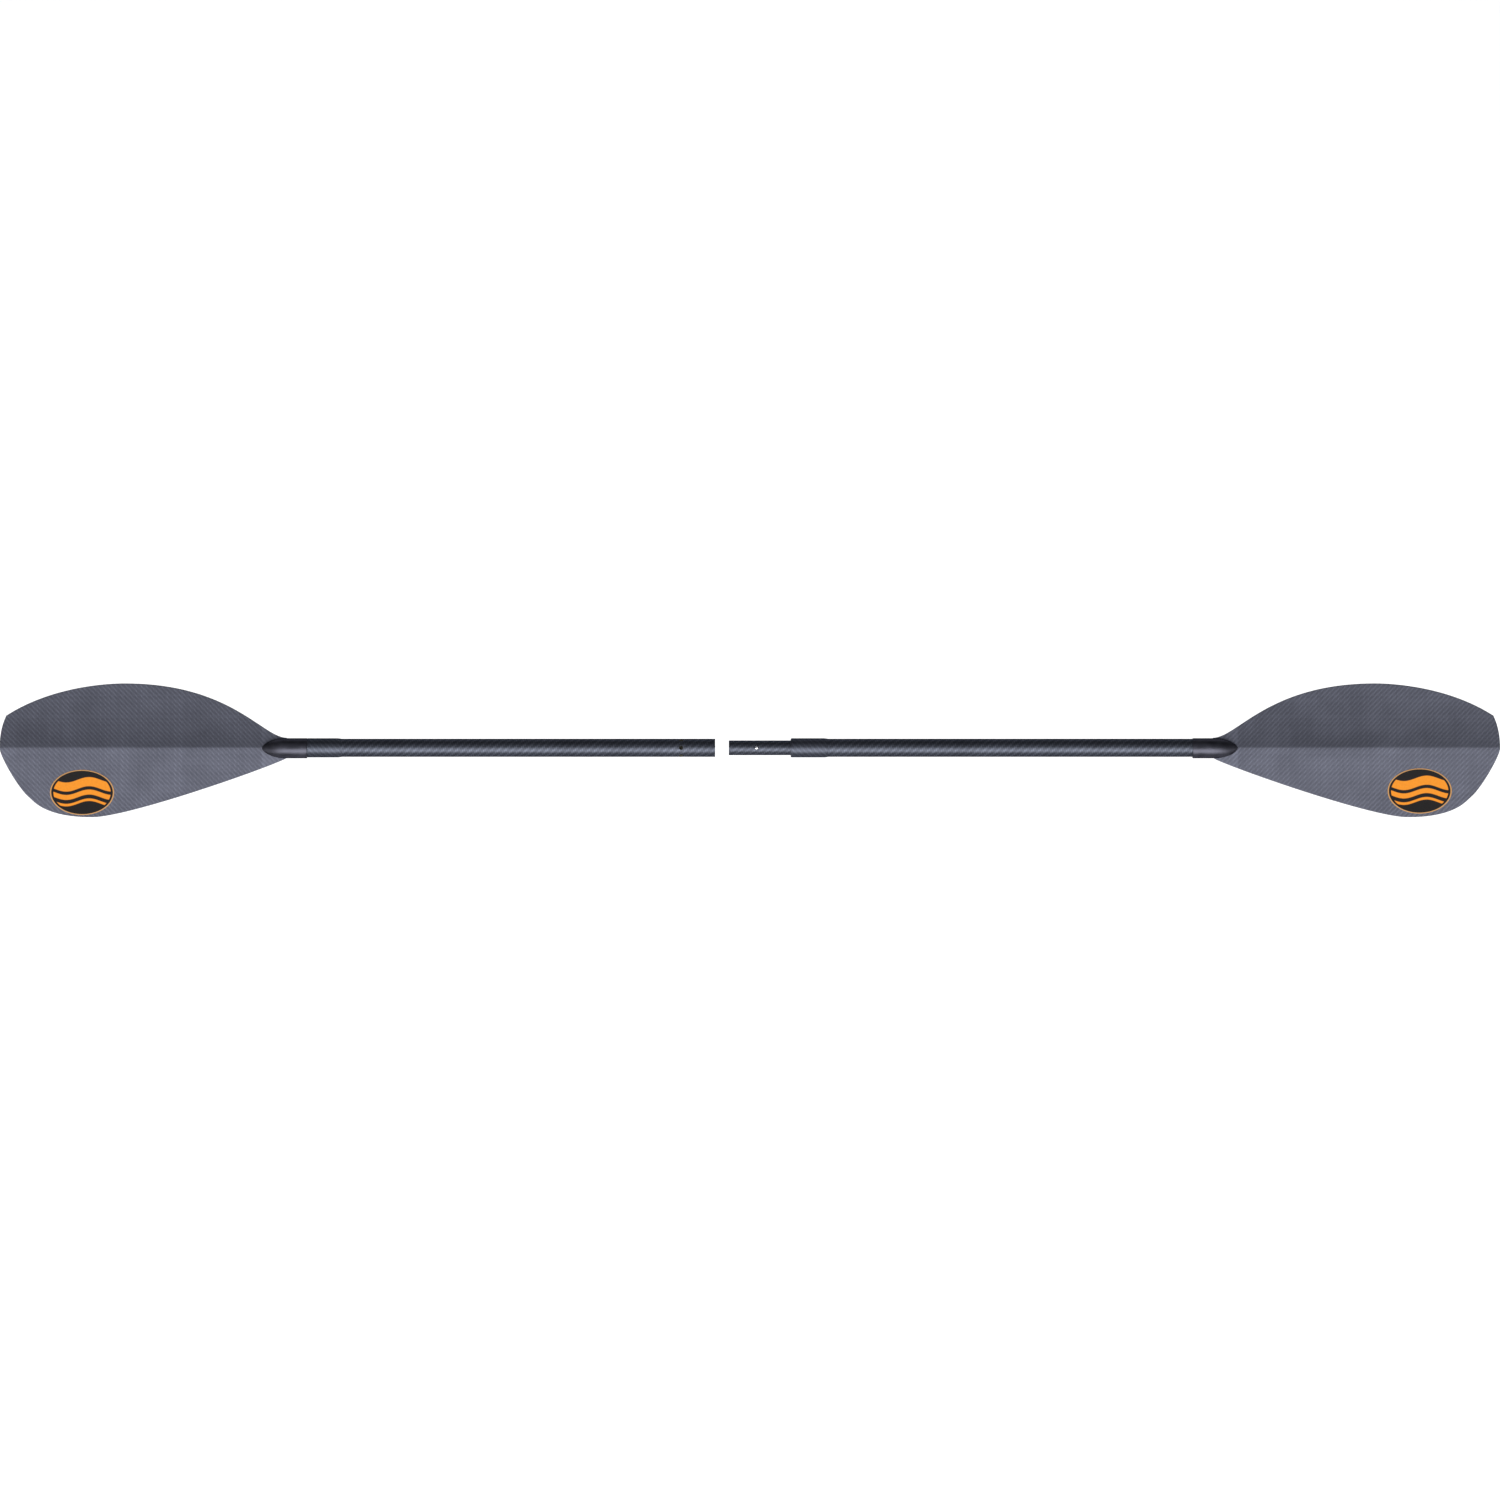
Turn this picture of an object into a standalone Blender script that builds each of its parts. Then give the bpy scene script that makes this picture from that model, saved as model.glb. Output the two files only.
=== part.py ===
"""A two-piece kayak paddle in carbon fibre, laid out with its halves apart.

The shaft lies along X. Both power faces look up, and the wider edge of each blade points to -Y.
The origin is the middle of the paddle's box, on the surface that the long edges of its blades rest on.
The left half ends in a socket. The right half ends in a spigot with a snap button, which slides
into the socket and locks in one of three holes, so that the blades can be set at an angle.
"""

import math

import bmesh
import bpy
from mathutils import Vector
from mathutils.geometry import interpolate_bezier

# ---- Lengths along the shaft, in metres ----
LEFT_LENGTH = 1.155  # blade tip to the mouth of the socket
RIGHT_LENGTH = 1.145  # blade tip to the shoulder behind the spigot
APART = 0.022  # from the mouth to the tip of the spigot, as laid out
SPIGOT_OUT = 0.100  # spigot in front of the shoulder
SPIGOT_IN = 0.070  # spigot bonded into the right shaft
BUTTON_BACK = 0.055  # button's axis in front of the shoulder

# ---- Sections ----
SHAFT_R = 0.0146
SHAFT_WALL = 0.0013
SPIGOT_R = 0.0119
SPIGOT_WALL = 0.0016
SOCKET_R = 0.01215
NECK_R = 0.0163
NECK_SHIFT = 0.0007  # the outside of the neck is this far off the axis, towards the wider edge
WRAP_R = 0.0155
BUTTON_R = 0.0030
HOLE_R = 0.0034
GAP = 0.0003  # between pieces that are bonded or rest on each other
EASE = 0.0002  # the same under a thin wrap or a decal
FOAM_GAP = 0.0005  # glue line over the foam, straight down
CHAMFER = 0.0006

# ---- Blade, seen from above: u is the distance from its tip and v the distance from the shaft's axis ----
ROOT_U = 0.463
UPPER_MAX = Vector((0.2005, 0.1042))
UPPER_CORNER = Vector((0.010, 0.0518))
LOWER_MAX = Vector((0.148, -0.1122))
LOWER_CORNER = Vector((0.048, -0.0807))

# ---- Blade, seen from the side and end ----
FACE_ROOT = 0.002  # height of the power face over the shaft's axis, at the root and at the tip
FACE_TIP = 0.012
SPOON = 0.016  # how far the face dips between them
UPPER_DROP = (0.011, 0.055)  # how the face falls away from its ridge: the most it falls, and over what run
LOWER_DROP = (0.030, 0.300)
SKIN = 0.0008
EDGE = 2 * SKIN + GAP
BODY_ROOT = 0.0038  # extra thickness around the foam
BODY_TIP = 0.0022
SPINE = 0.0090  # extra thickness of the spine on the back, at the root
SPINE_WIDTH = 0.014

# ---- Neck, where the shaft goes into the blade: distances from the blade's tip ----
NECK_MOUTH_U = 0.496
SHAFT_END_U = 0.4585
BORE_END_U = 0.4580
NOSE_LENGTH = 0.040
NOSE_POINT = 0.6  # power that shapes the nose seen from above: 0.5 is an ellipse, and more is more pointed
NECK_WRAP_U = 0.551

# ---- Decals: distance from the blade's tip, distance from the axis, half length and half height ----
DECALS = {"left": (0.1317, -0.0722), "right": (0.1284, -0.0698)}
DECAL_HALF = (0.0515, 0.0365)
DECAL_THICK = 0.0003

# ---- Placing ----
AXIS_Y = -(UPPER_MAX.y + LOWER_MAX.y) / 2
AXIS_Z = 0.02127  # the blades' long edges then touch z = 0
TIP_X = (LEFT_LENGTH + APART + SPIGOT_OUT + RIGHT_LENGTH) / 2
MOUTH_X = LEFT_LENGTH - TIP_X
SPIGOT_TIP_X = MOUTH_X + APART
SHOULDER_X = TIP_X - RIGHT_LENGTH
BUTTON_X = SHOULDER_X - BUTTON_BACK
LOCK_X = MOUTH_X - BUTTON_BACK  # where the button stands when the halves are together
FEATHER_ANGLES = (-60, 0, 60)
SIDES = {"left": -1, "right": 1}

# ---- Finishes: linear colour, roughness and metallic value ----
FINISHES = {
    "blade": ((0.105, 0.112, 0.145), 0.45, 0),
    "shaft": ((0.030, 0.031, 0.037), 0.30, 0),
    "neck": ((0.026, 0.026, 0.032), 0.42, 0),
    "wrap": ((0.028, 0.029, 0.034), 0.30, 0),
    "liner": ((0.30, 0.29, 0.22), 0.50, 0),
    "foam": ((0.55, 0.50, 0.38), 0.90, 0),
    "rubber": ((0.020, 0.020, 0.021), 0.75, 0),
    "decal": ((0.90, 0.31, 0.02), 0.35, 0),
    "steel": ((0.62, 0.63, 0.65), 0.18, 1),
}

# ---- Fineness ----
ROUND_STEPS = 32
ROWS_PER_SEGMENT = 10
COLUMNS = (0, 0.08, 0.18, 0.36, 0.60, 0.84, 1)
CORE_REACH = 0.84  # the foam stops at this share of the way to every edge


def clear_scene():
    for obj in list(bpy.data.objects):
        bpy.data.objects.remove(obj)


def make_material(name, finish):
    colour, roughness, metallic = FINISHES[finish]
    made = bpy.data.materials.new(name)
    made.use_nodes = True
    shader = made.node_tree.nodes["Principled BSDF"]
    shader.inputs["Base Color"].default_value = (*colour, 1)
    shader.inputs["Roughness"].default_value = roughness
    shader.inputs["Metallic"].default_value = metallic
    return made


def make_collection(name):
    made = bpy.data.collections.new(name)
    bpy.context.scene.collection.children.link(made)
    return made


def make_axis(name, location, parent=None):
    axis = bpy.data.objects.new(name, None)
    axis.location = location
    axis.parent = parent
    PADDLE.objects.link(axis)
    return axis


def add_object(name, mesh, parent, finish, collection=None):
    obj = bpy.data.objects.new(name, mesh)
    obj.parent = parent
    obj.data.materials.append(make_material(name, finish))
    (collection or PADDLE).objects.link(obj)
    return obj


def mesh_of(name, points, faces=(), edges=()):
    mesh = bpy.data.meshes.new(name)
    mesh.from_pydata([tuple(p) for p in points], list(edges), list(faces))
    return mesh


# ---- Turned pieces ----


def turned(name, profile, parent, finish, side=1, along_x=True, collection=None):
    """Turns a profile of (distance along the axis, radius) points. On side -1 the distances run along -X."""
    loop = [Vector((radius, 0, along)) for along, radius in profile]
    area = sum(a.x * b.z - b.x * a.z for a, b in zip(loop, loop[1:] + loop[:1]))
    if area > 0:
        loop.reverse()
    closed = min(p.x for p in loop) > 0
    edges = [(i, i + 1) for i in range(len(loop) - 1)]
    if closed:
        edges.append((len(loop) - 1, 0))
    obj = add_object(name, mesh_of(name, loop, edges=edges), parent, finish, collection)
    if along_x:
        obj.rotation_euler.y = side * math.pi / 2
    screw = obj.modifiers.new("turn", "SCREW")
    screw.steps = ROUND_STEPS
    screw.render_steps = ROUND_STEPS
    screw.use_merge_vertices = True
    screw.merge_threshold = 0.00001
    screw.use_smooth_shade = True
    return obj


def tube(name, start, end, inner, outer, parent, finish, side=1):
    """A turned tube with its outer edges eased."""
    profile = [
        (start, inner),
        (start, outer - CHAMFER / 2),
        (start + CHAMFER / 2, outer),
        (end - CHAMFER / 2, outer),
        (end, outer - CHAMFER / 2),
        (end, inner),
    ]
    return turned(name, profile, parent, finish, side)


def round_plug(name, start, end, radius, parent, finish, side=1):
    profile = [
        (start, 0),
        (start, radius - CHAMFER),
        (start + CHAMFER, radius),
        (end - CHAMFER, radius),
        (end, radius - CHAMFER),
        (end, 0),
    ]
    return turned(name, profile, parent, finish, side)


def as_cutter(obj):
    obj.hide_render = True
    obj.display_type = "WIRE"
    return obj


def move_to_cutters(obj):
    for collection in obj.users_collection:
        collection.objects.unlink(obj)
    CUTTERS.objects.link(obj)
    return as_cutter(obj)


def boolean(obj, other, operation):
    modifier = obj.modifiers.new(operation.lower(), "BOOLEAN")
    modifier.operation = operation
    modifier.object = other


def button_drill(name, x, angle, parent):
    """A cutter that drills one wall of a tube at x, at an angle round the shaft from straight up."""
    reach = (SHAFT_R * 0.5, SHAFT_R * 1.3)
    bpy.ops.mesh.primitive_cylinder_add(vertices=24, radius=HOLE_R, depth=reach[1] - reach[0])
    drill = bpy.context.object
    drill.name = name
    drill.parent = parent
    middle = sum(reach) / 2
    turn = math.radians(angle)
    drill.rotation_euler.x = turn
    drill.location = (x, -math.sin(turn) * middle, math.cos(turn) * middle)
    return move_to_cutters(drill)


# ---- Blade ----


def bezier(start, leave, arrive, end, count):
    """count + 1 points of one Bezier segment. It takes the two handles as offsets from its ends."""
    return interpolate_bezier(start, start + Vector(leave), end + Vector(arrive), end, count + 1)


def long_edges():
    """The upper and the lower long edge, each as (u, v) points from the root to the corner at the tip."""
    n = ROWS_PER_SEGMENT
    upper_root = Vector((ROOT_U, NECK_R))
    lower_root = Vector((ROOT_U, -NECK_R))
    upper = bezier(upper_root, (-0.039, 0), (0.172, 0), UPPER_MAX, n)
    upper += bezier(UPPER_MAX, (-0.030, 0), (0.071, 0.047), UPPER_CORNER, n)[1:]
    lower = bezier(lower_root, (-0.005, -0.007), (0.061, 0), LOWER_MAX, n)
    lower += bezier(LOWER_MAX, (-0.015, 0), (0.026, -0.032), LOWER_CORNER, n)[1:]
    return upper, lower


def tip_edges():
    """The blunt end of the blade, as functions of the share of the way from the ridge to each corner."""
    tip = Vector((0, 0))

    def upper(share):
        handle = UPPER_CORNER + Vector((-0.001, -0.004))
        return bezier_point(tip, Vector((0, 0.033)), handle, UPPER_CORNER, share)

    def lower(share):
        handle = LOWER_CORNER + Vector((-0.014, 0.008))
        return bezier_point(tip, Vector((0, -0.014)), handle, LOWER_CORNER, share)

    return upper, lower


def bezier_point(a, b, c, d, t):
    s = 1 - t
    return a * s**3 + b * 3 * s * s * t + c * 3 * s * t * t + d * t**3


def plan_rows(columns):
    """The blade's plan in rows from its lower to its upper edge.

    Each point is (u, v, share of the way to the edge, share of the way to the tip).
    """
    upper, lower = long_edges()
    upper_tip, lower_tip = tip_edges()
    last = len(upper) - 1
    tip_lead = (UPPER_CORNER.x + LOWER_CORNER.x) / 2
    rows = []
    for i in range(last + 1):
        along = i / last
        ridge = Vector(((upper[i].x + lower[i].x) / 2 - tip_lead * along**2, 0))
        row = []
        for edge, corner, tip_edge, order in (
            (lower, LOWER_CORNER, lower_tip, reversed(columns)),
            (upper, UPPER_CORNER, upper_tip, columns[1:]),
        ):
            for share in order:
                straight = ridge.lerp(edge[i], share)
                bulge = tip_edge(share) - corner * share
                point = straight + bulge * along**6
                row.append((point.x, point.y, share, along))
        rows.append(row)
    return rows


def face_height(u, v):
    """Height of the power face over the shaft's axis: spooned along its length, with a ridge."""
    along = 1 - u / ROOT_U
    spoon = FACE_ROOT + (FACE_TIP - FACE_ROOT) * along - SPOON * 4 * along * (1 - along)
    drop, run = UPPER_DROP if v > 0 else LOWER_DROP
    return spoon - drop * (1 - math.exp(-abs(v) / run))


def thickness(u, v, share, along):
    """Thickness of the blade: thin round every edge, with a spine on the back that fades towards the tip."""
    toward_tip = 1 - u / ROOT_U
    body = BODY_ROOT + (BODY_TIP - BODY_ROOT) * toward_tip
    spine = SPINE * max(0, 1 - toward_tip) ** 2.5 * math.exp(-((v / SPINE_WIDTH) ** 2))
    return EDGE + (1 - share**4) * (1 - along**6) * (body + spine)


def grid_faces(row_count, column_count, start=0, flip=False):
    """Triangles between rows of points, all split the same way, so that neighbouring layers match."""
    faces = []
    for i in range(row_count - 1):
        for j in range(column_count - 1):
            a = start + i * column_count + j
            b = a + column_count
            for face in ((a, a + 1, b + 1), (a, b + 1, b)):
                faces.append(face[::-1] if flip else face)
    return faces


def blade_point(u, v, z, side):
    return Vector((side * (TIP_X - u), v, z))


def sheet(name, side, parent, finish, sheet_thickness, back=False, lift=0.0):
    """The outside of the blade's face or back as an open surface, thickened inwards."""
    rows = plan_rows(COLUMNS)
    points = []
    for row in rows:
        for u, v, share, along in row:
            depth = thickness(u, v, share, along) if back else -lift
            points.append(blade_point(u, v, face_height(u, v) - depth, side))
    faces = grid_faces(len(rows), len(rows[0]), flip=(side > 0) != back)
    obj = add_object(name, mesh_of(name, points, faces), parent, finish)
    obj.data.shade_smooth()
    shell = obj.modifiers.new("sheet", "SOLIDIFY")
    shell.thickness = sheet_thickness
    shell.offset = -1
    return obj


def foam_core(name, side, parent, finish):
    """The foam between the skins: a loft from its upper to its lower surface, closed round its rim."""
    columns = [share for share in COLUMNS if share <= CORE_REACH]
    rows = [row for row in plan_rows(columns) if 0 < row[0][3] <= CORE_REACH]
    inset = SKIN + FOAM_GAP
    points = []
    for under in (False, True):
        for row in rows:
            for u, v, share, along in row:
                top = face_height(u, v)
                low = top - thickness(u, v, share, along)
                points.append(blade_point(u, v, low + inset if under else top - inset, side))
    row_count, column_count = len(rows), len(rows[0])
    half = row_count * column_count
    faces = grid_faces(row_count, column_count, flip=side > 0)
    faces += grid_faces(row_count, column_count, start=half, flip=side < 0)
    rim = list(range(column_count))
    rim += [i * column_count + column_count - 1 for i in range(1, row_count)]
    rim += [half - 1 - j for j in range(1, column_count)]
    rim += [i * column_count for i in range(row_count - 2, 0, -1)]
    for a, b in zip(rim, rim[1:] + rim[:1]):
        wall = (b, a, a + half, b + half)
        faces.append(wall[::-1] if side > 0 else wall)
    return add_object(name, mesh_of(name, points, faces), parent, finish)


def decal(name, side, centre, parent, finish):
    """An oval sticker that lies on the power face."""
    u, v = centre
    bpy.ops.mesh.primitive_cylinder_add(vertices=ROUND_STEPS, radius=1, depth=4 * SPOON)
    oval = bpy.context.object
    oval.name = name + "_outline"
    oval.parent = parent
    oval.scale = (*DECAL_HALF, 1)
    oval.location = blade_point(u, v, face_height(u, v), side)
    move_to_cutters(oval)
    vinyl = sheet(name, side, parent, finish, DECAL_THICK, lift=EASE + DECAL_THICK)
    boolean(vinyl, oval, "INTERSECT")
    return vinyl


# ---- Neck ----


def nose_section(distance, radius, length):
    """Half width and half height of the neck's nose at a distance from where it starts to narrow."""
    share = min(1, distance / length)
    return radius * (1 - share**2) ** NOSE_POINT, radius * (1 - share**1.5)


def neck_rings(radius, length, steps=8):
    """The nose as rings for lofted_rings, from its full section to just before its tip."""
    rings = []
    for k in range(steps):
        distance = length * math.sin(math.pi / 2 * k / steps)
        rings.append((ROOT_U - distance, -NECK_SHIFT, *nose_section(distance, radius, length)))
    return rings


def lofted_rings(name, rings, first, last, side, parent, finish, collection=None):
    """A closed loft through rings of (u, centre, half width, half height), with a point at each end."""
    points = [blade_point(first, rings[0][1], 0, side)]
    for u, centre, half_width, half_height in rings:
        for k in range(ROUND_STEPS):
            angle = 2 * math.pi * k / ROUND_STEPS
            v = centre + half_width * math.cos(angle)
            points.append(blade_point(u, v, half_height * math.sin(angle), side))
    points.append(blade_point(last, rings[-1][1], 0, side))
    faces = []
    for k in range(ROUND_STEPS):
        after = (k + 1) % ROUND_STEPS
        faces.append((0, 1 + after, 1 + k))
        for ring in range(len(rings) - 1):
            a, b = 1 + ring * ROUND_STEPS + k, 1 + ring * ROUND_STEPS + after
            faces.append((a, b, b + ROUND_STEPS, a + ROUND_STEPS))
        end = len(points) - 1
        faces.append((end, end - ROUND_STEPS + k, end - ROUND_STEPS + after))
    obj = add_object(name, mesh_of(name, points, faces), parent, finish, collection)
    edit = bmesh.new()
    edit.from_mesh(obj.data)
    bmesh.ops.recalc_face_normals(edit, faces=edit.faces)
    edit.to_mesh(obj.data)
    edit.free()
    return obj


def neck(name, side, parent, finish):
    """The sleeve that the shaft is bonded into, with a nose that dies into the blade."""
    bore = SHAFT_R + GAP
    rim = NECK_R - CHAMFER / 2
    rings = [
        (BORE_END_U, 0, bore, bore),
        (NECK_MOUTH_U, 0, bore, bore),
        (NECK_MOUTH_U, -NECK_SHIFT, rim, rim),
        (NECK_MOUTH_U - CHAMFER / 2, -NECK_SHIFT, NECK_R, NECK_R),
    ]
    rings += neck_rings(NECK_R, NOSE_LENGTH)
    obj = lofted_rings(name, rings, BORE_END_U, ROOT_U - NOSE_LENGTH, side, parent, finish)
    obj.data.shade_smooth()
    obj.data.set_sharp_from_angle(angle=math.radians(40))
    return obj


def neck_clearance(name, side, parent):
    """The neck's outside grown by a gap, to cut the skins and the foam back from it."""
    radius = NECK_R + GAP
    length = NOSE_LENGTH + GAP * 2
    rings = [(NECK_MOUTH_U, -NECK_SHIFT, radius, radius), *neck_rings(radius, length)]
    cutter = lofted_rings(
        name, rings, NECK_MOUTH_U, ROOT_U - length, side, parent, "shaft", CUTTERS
    )
    return as_cutter(cutter)


# ---- Snap button ----


def snap_button(name, parent, finish):
    """The button riveted to a hairpin of spring strip, which pushes it out through the spigot. One piece."""
    width, strip, leg_height = 0.008, 0.0006, 0.0086
    bend_x, bend_steps = 0.026, 10
    path = [(-0.007, leg_height)]
    for k in range(bend_steps + 1):
        angle = math.pi / 2 - math.pi * k / bend_steps
        path.append((bend_x + leg_height * math.cos(angle), leg_height * math.sin(angle)))
    path.append((-0.004, -leg_height))
    points = [Vector((x, y, z)) for x, z in path for y in (-width / 2, width / 2)]
    faces = grid_faces(len(path), 2, flip=True)
    obj = add_object(name, mesh_of(name, points, faces), parent, finish)
    leaf = obj.modifiers.new("strip", "SOLIDIFY")
    leaf.thickness = strip
    leaf.offset = 0

    top, dome = SHAFT_R + 0.0004, 0.0016
    rivet = leg_height - strip * 1.6
    profile = [(rivet, 0), (rivet, BUTTON_R * 0.6), (top - dome, BUTTON_R * 0.999)]
    profile.insert(2, (leg_height, BUTTON_R * 0.6))
    profile.insert(3, (leg_height, BUTTON_R))
    dome_steps = 5
    for k in range(1, dome_steps):
        angle = math.pi / 2 * k / dome_steps
        profile.append((top - dome + dome * math.sin(angle), BUTTON_R * math.cos(angle)))
    profile.append((top, 0))
    pin = turned("button_pin", profile, parent, finish, along_x=False, collection=CUTTERS)
    boolean(obj, as_cutter(pin), "UNION")
    return obj


# ---- The two halves ----


def build_blade(half, parent):
    side = SIDES[half]
    clearance = neck_clearance(half + "_neck_clearance", side, parent)
    face = sheet(half + "_blade_face_skin", side, parent, "blade", SKIN)
    back = sheet(half + "_blade_back_skin", side, parent, "blade", SKIN, back=True)
    core = foam_core(half + "_blade_core", side, parent, "foam")
    for piece in (face, back, core):
        boolean(piece, clearance, "DIFFERENCE")
    neck(half + "_blade_neck", side, parent, "neck")
    decal(half + "_blade_decal", side, DECALS[half], parent, "decal")


def shaft_tube(half, start, parent):
    """The carbon tube of one half, from its inner end to its end inside the neck."""
    side = SIDES[half]
    end = TIP_X - SHAFT_END_U
    tube(half + "_shaft_tube", start, end, SHAFT_R - SHAFT_WALL, SHAFT_R, parent, "shaft", side)
    plug_r = SHAFT_R - SHAFT_WALL - GAP
    round_plug(half + "_shaft_end_plug", end - 0.016, end - 0.002, plug_r, parent, "foam", side)
    return bpy.data.objects[half + "_shaft_tube"]


def build_left_half(parent):
    build_blade("left", parent)
    shaft = shaft_tube("left", -MOUTH_X, parent)
    inside = SHAFT_R - SHAFT_WALL - GAP
    liner_end = -MOUTH_X + SPIGOT_OUT + 0.014
    liner = tube("socket_liner", -MOUTH_X, liner_end, SOCKET_R, inside, parent, "liner", -1)
    for number, angle in enumerate(FEATHER_ANGLES):
        drill = button_drill(f"lock_hole_{number}", LOCK_X, angle, parent)
        boolean(shaft, drill, "DIFFERENCE")
        boolean(liner, drill, "DIFFERENCE")
    bulkhead = (liner_end + 0.005, liner_end + 0.030)
    round_plug("left_shaft_bulkhead", *bulkhead, inside, parent, "foam", -1)
    wrap = (TIP_X - NECK_WRAP_U, TIP_X - NECK_MOUTH_U - GAP)
    tube("left_neck_wrap", *wrap, SHAFT_R + EASE, WRAP_R, parent, "wrap", -1)


def build_right_half(parent):
    build_blade("right", parent)
    shaft_tube("right", SHOULDER_X, parent)
    inside = SHAFT_R - SHAFT_WALL - GAP
    bore = SPIGOT_R - SPIGOT_WALL
    spigot_end = SHOULDER_X + SPIGOT_IN
    profile = [
        (SPIGOT_TIP_X, bore),
        (SPIGOT_TIP_X, SPIGOT_R - 0.001),
        (SPIGOT_TIP_X + 0.001, SPIGOT_R),
        (SHOULDER_X + GAP, SPIGOT_R),
        (SHOULDER_X + 0.002, inside),
        (spigot_end, inside),
        (spigot_end, bore),
    ]
    spigot = turned("spigot", profile, parent, "shaft")
    boolean(spigot, button_drill("button_hole", BUTTON_X, 0, parent), "DIFFERENCE")
    round_plug("right_shaft_bulkhead", spigot_end + 0.005, spigot_end + 0.030, inside, parent, "foam")
    collar = (SHOULDER_X, SHOULDER_X + 0.060)
    tube("shoulder_wrap", *collar, SHAFT_R + EASE, WRAP_R, parent, "wrap")


clear_scene()
PADDLE = make_collection("kayak_paddle")
CUTTERS = make_collection("cutters")
left_half = make_axis("left_half", (0, AXIS_Y, AXIS_Z))
plug_axis = make_axis("plug_axis", (0, AXIS_Y, AXIS_Z))
right_half = make_axis("right_half", (0, 0, 0), parent=plug_axis)
button_axis = make_axis("button_axis", (BUTTON_X, 0, 0), parent=right_half)
build_left_half(left_half)
build_right_half(right_half)
round_plug(
    "spigot_plug",
    SPIGOT_TIP_X + 0.002,
    SPIGOT_TIP_X + 0.017,
    SPIGOT_R - SPIGOT_WALL - GAP,
    plug_axis,
    "rubber",
)
snap_button("snap_button", button_axis, "steel")
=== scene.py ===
"""The looks of a two-piece carbon kayak paddle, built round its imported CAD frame."""

import math

import bmesh
import bpy
import numpy as np
from mathutils import Matrix, Vector


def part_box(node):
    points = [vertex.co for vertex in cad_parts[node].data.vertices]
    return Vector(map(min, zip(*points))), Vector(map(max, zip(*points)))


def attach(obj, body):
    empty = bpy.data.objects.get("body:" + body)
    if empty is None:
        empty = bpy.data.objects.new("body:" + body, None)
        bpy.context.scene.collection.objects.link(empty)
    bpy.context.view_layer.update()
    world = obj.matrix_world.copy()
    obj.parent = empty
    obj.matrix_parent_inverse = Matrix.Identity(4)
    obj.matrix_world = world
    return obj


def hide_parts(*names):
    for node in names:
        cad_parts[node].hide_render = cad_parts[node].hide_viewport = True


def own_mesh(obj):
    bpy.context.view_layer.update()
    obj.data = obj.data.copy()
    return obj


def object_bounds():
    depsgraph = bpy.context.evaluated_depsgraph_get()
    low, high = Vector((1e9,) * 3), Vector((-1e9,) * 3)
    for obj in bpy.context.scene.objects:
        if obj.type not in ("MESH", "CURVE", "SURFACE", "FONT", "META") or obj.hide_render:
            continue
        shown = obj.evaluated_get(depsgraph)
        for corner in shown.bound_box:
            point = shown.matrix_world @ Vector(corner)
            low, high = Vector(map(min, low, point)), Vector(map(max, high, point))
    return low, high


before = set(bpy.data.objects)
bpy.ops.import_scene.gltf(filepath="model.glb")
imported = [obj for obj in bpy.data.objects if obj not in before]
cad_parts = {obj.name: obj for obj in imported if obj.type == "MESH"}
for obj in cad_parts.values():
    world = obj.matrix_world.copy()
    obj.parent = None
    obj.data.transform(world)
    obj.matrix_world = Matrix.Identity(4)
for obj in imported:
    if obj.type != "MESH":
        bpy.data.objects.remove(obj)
CAD_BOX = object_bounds()

# ---- Places read from the frame ----
TUBE_LOW, TUBE_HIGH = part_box("left_shaft_tube")
RIGHT_TUBE_LOW, RIGHT_TUBE_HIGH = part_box("right_shaft_tube")
LINER_LOW, LINER_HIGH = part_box("socket_liner")
SPIGOT_LOW, SPIGOT_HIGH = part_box("spigot")
PLUG_LOW, PLUG_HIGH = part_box("spigot_plug")
BUTTON_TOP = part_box("snap_button")[1][2]
AXIS_Y = (TUBE_LOW[1] + TUBE_HIGH[1]) / 2
AXIS_Z = (TUBE_LOW[2] + TUBE_HIGH[2]) / 2
SHAFT_R = (TUBE_HIGH[2] - TUBE_LOW[2]) / 2
TIP_X = CAD_BOX[1][0]
MOUTH_X = TUBE_HIGH[0]
SHOULDER_X = RIGHT_TUBE_LOW[0]
SIDES = {"left": -1, "right": 1}

# ---- The ferrule ----
SHAFT_WALL = 0.0013
SOCKET_R = 0.01215
SPIGOT_R = 0.0119
SPIGOT_WALL = 0.0016
BUTTON_BACK = 0.055  # button's axis in front of the shoulder
BUTTON_R = 0.0030
SPRING_LEG = 0.0086  # distance of each leg of the button's spring from the shaft's axis
HOLE_R = 0.0034
BUTTON_X = SHOULDER_X - BUTTON_BACK
LOCK_X = MOUTH_X - BUTTON_BACK
FEATHER_ANGLES = (-60, 0, 60)

# ---- The blade seen from above: u is the distance from its tip, and v from the shaft's axis ----
ROOT_U = 0.463
UPPER_MAX = (0.2005, 0.1042)
UPPER_CORNER = (0.010, 0.0518)
LOWER_MAX = (0.148, -0.1122)
LOWER_CORNER = (0.048, -0.0807)
# Handles of each outline curve, as offsets from its ends: root to widest, then widest to corner.
UPPER_HANDLES = ((-0.039, 0), (0.172, 0)), ((-0.030, 0), (0.071, 0.047))
LOWER_HANDLES = ((-0.005, -0.007), (0.061, 0)), ((-0.015, 0), (0.026, -0.032))
UPPER_TIP_HANDLES = (0, 0.033), (-0.001, -0.004)
LOWER_TIP_HANDLES = (0, -0.014), (-0.014, 0.008)

# ---- The blade's heights and thicknesses ----
FACE_ROOT = 0.002
FACE_TIP = 0.012
SPOON = 0.016
# How the face falls away from its ridge: the most that it falls, and over what run.
UPPER_DROP = (0.011, 0.055)
LOWER_DROP = (0.030, 0.300)
RIDGE_ROUND = 0.0012
EDGE = 0.0019
BODY_ROOT = 0.0038
BODY_TIP = 0.0022
SPINE = 0.0090
SPINE_WIDTH = 0.014

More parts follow.
